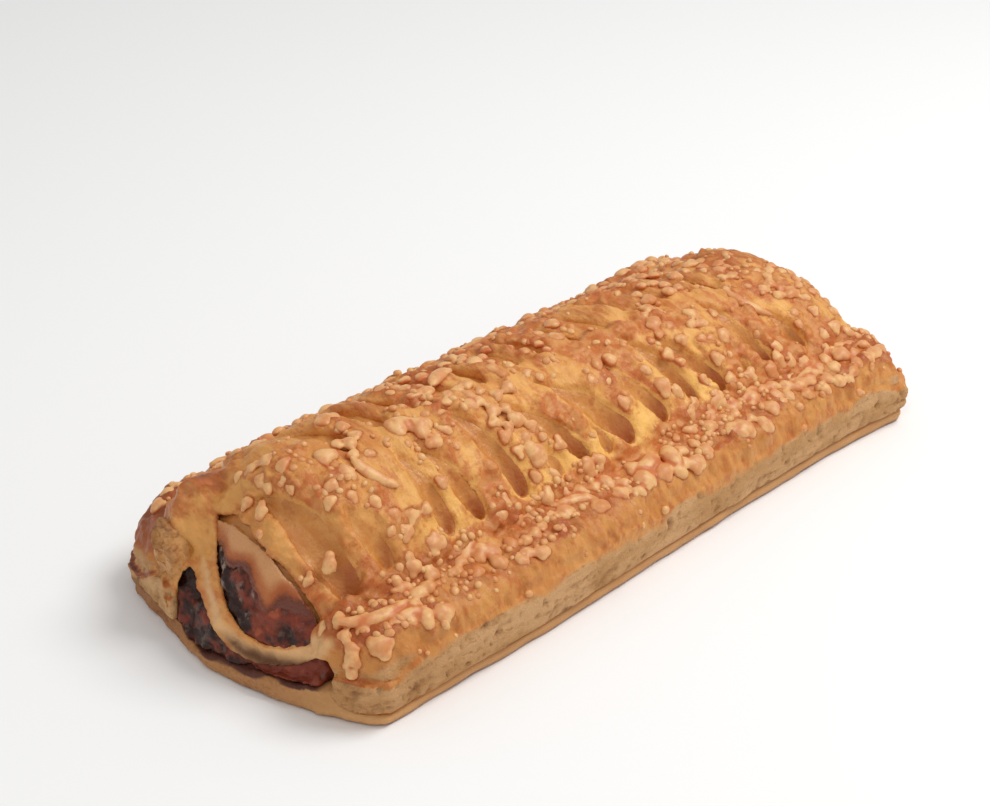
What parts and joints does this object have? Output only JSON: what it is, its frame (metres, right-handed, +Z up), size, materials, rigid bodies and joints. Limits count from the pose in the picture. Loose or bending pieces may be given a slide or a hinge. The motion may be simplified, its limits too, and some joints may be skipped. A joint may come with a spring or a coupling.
{
  "type": "cheese puff pastry",
  "caption": "Baked lattice-topped puff pastry bar with a dark savoury filling under a pale cheese layer, open at one end, with grated cheese baked on.",
  "frame": {"origin": "centre of the underside's bounding box, on the surface it rests on", "axes": "+X along the bar, away from the open end; +Y across it; +Z up"},
  "size_m": [0.1782, 0.0786, 0.0414],
  "materials": {
    "base_pastry": "matte baked dough, pale and porous at the sides",
    "sauce_filling": "dark red-brown glossy baked filling",
    "cheese_layer": "pale yellow satin melted cheese",
    "top_pastry": "golden egg-glazed baked crust, satin",
    "grated_cheese": "baked grated cheese, pale with orange edges"
  },
  "bodies": {
    "root": {"base_pastry": "base_pastry", "sauce_filling": "sauce_filling", "cheese_layer": "cheese_layer", "lattice_top": "top_pastry"}
  },
  "joints": []
}
